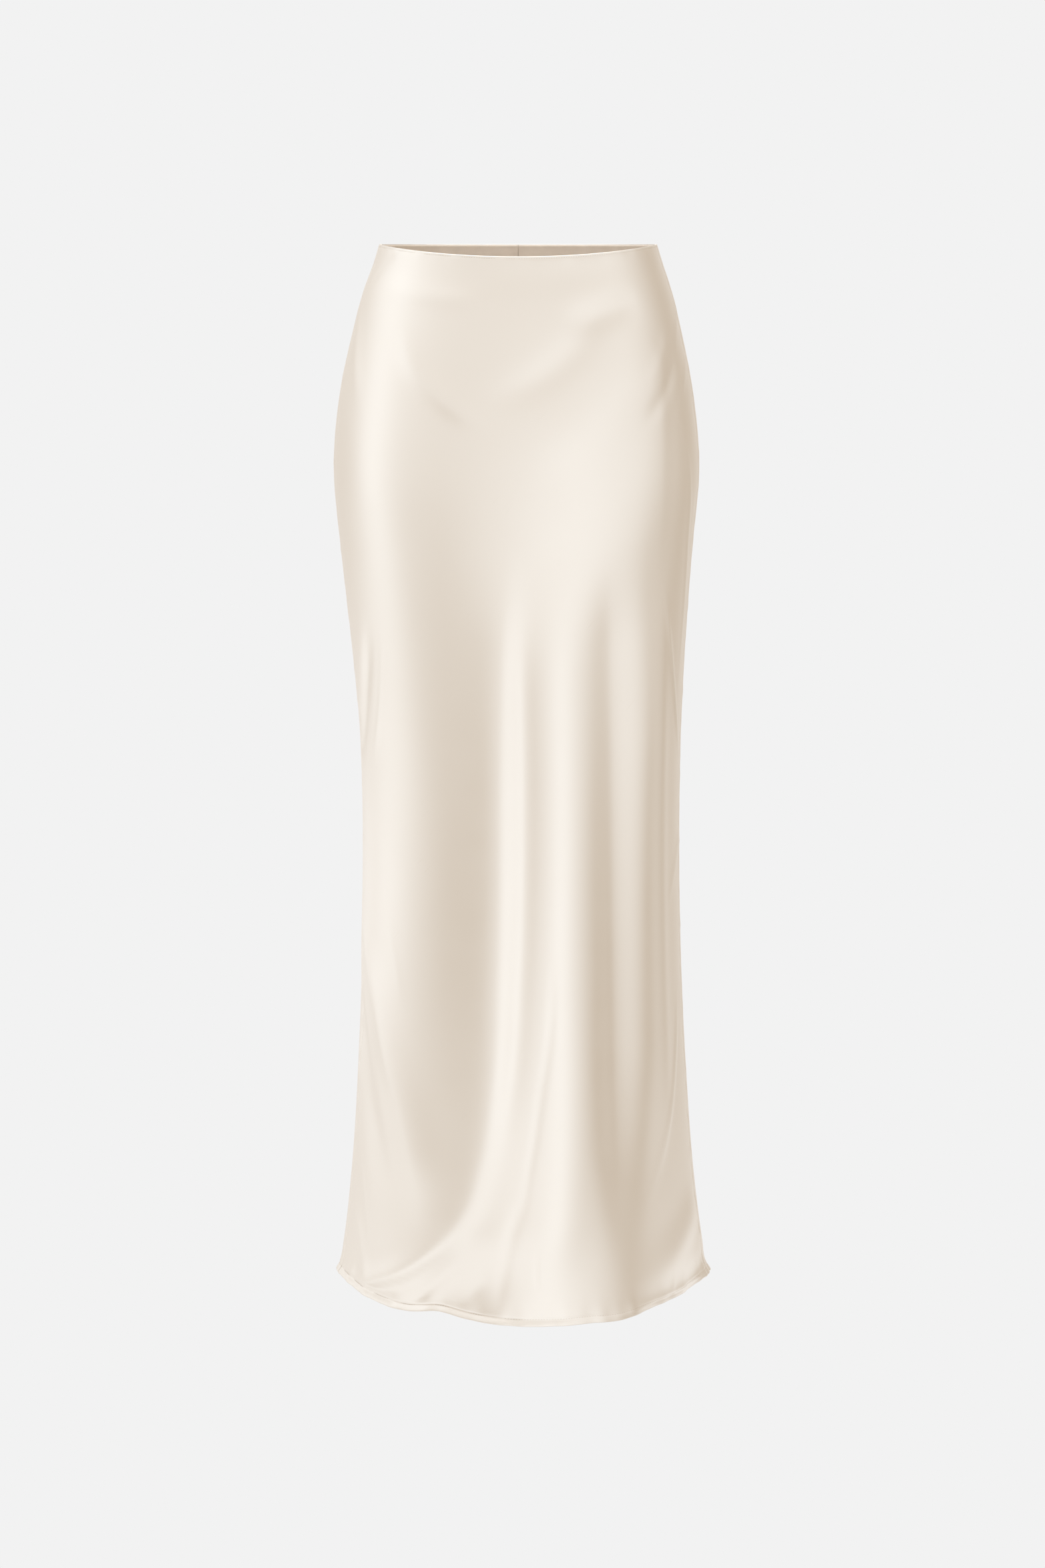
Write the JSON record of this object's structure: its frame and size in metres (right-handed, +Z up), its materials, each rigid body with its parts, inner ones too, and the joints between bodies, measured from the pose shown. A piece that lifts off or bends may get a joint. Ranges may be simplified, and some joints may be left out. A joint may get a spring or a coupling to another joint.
{
  "type": "satin skirt",
  "caption": "Long bias-cut satin skirt filled out as worn: fitted hips, straight fall to a soft flared hem, open waist and hem, facing inside the waist.",
  "frame": {"origin": "centre of the waist opening, level with the waist edge at the side seams", "axes": "+Z up along the skirt's length, -Y the way the front faces, +X to the right of someone who looks at the front"},
  "size_m": [0.351, 0.3082, 0.9622],
  "materials": {
    "satin": "lustrous satin face, champagne ivory",
    "facing": "dull inner side of the same satin"
  },
  "bodies": {
    "root": {"front_panel": "satin", "back_panel": "satin", "waist_facing_front": "facing", "waist_facing_back_left": "facing", "waist_facing_back_right": "facing"}
  },
  "joints": []
}
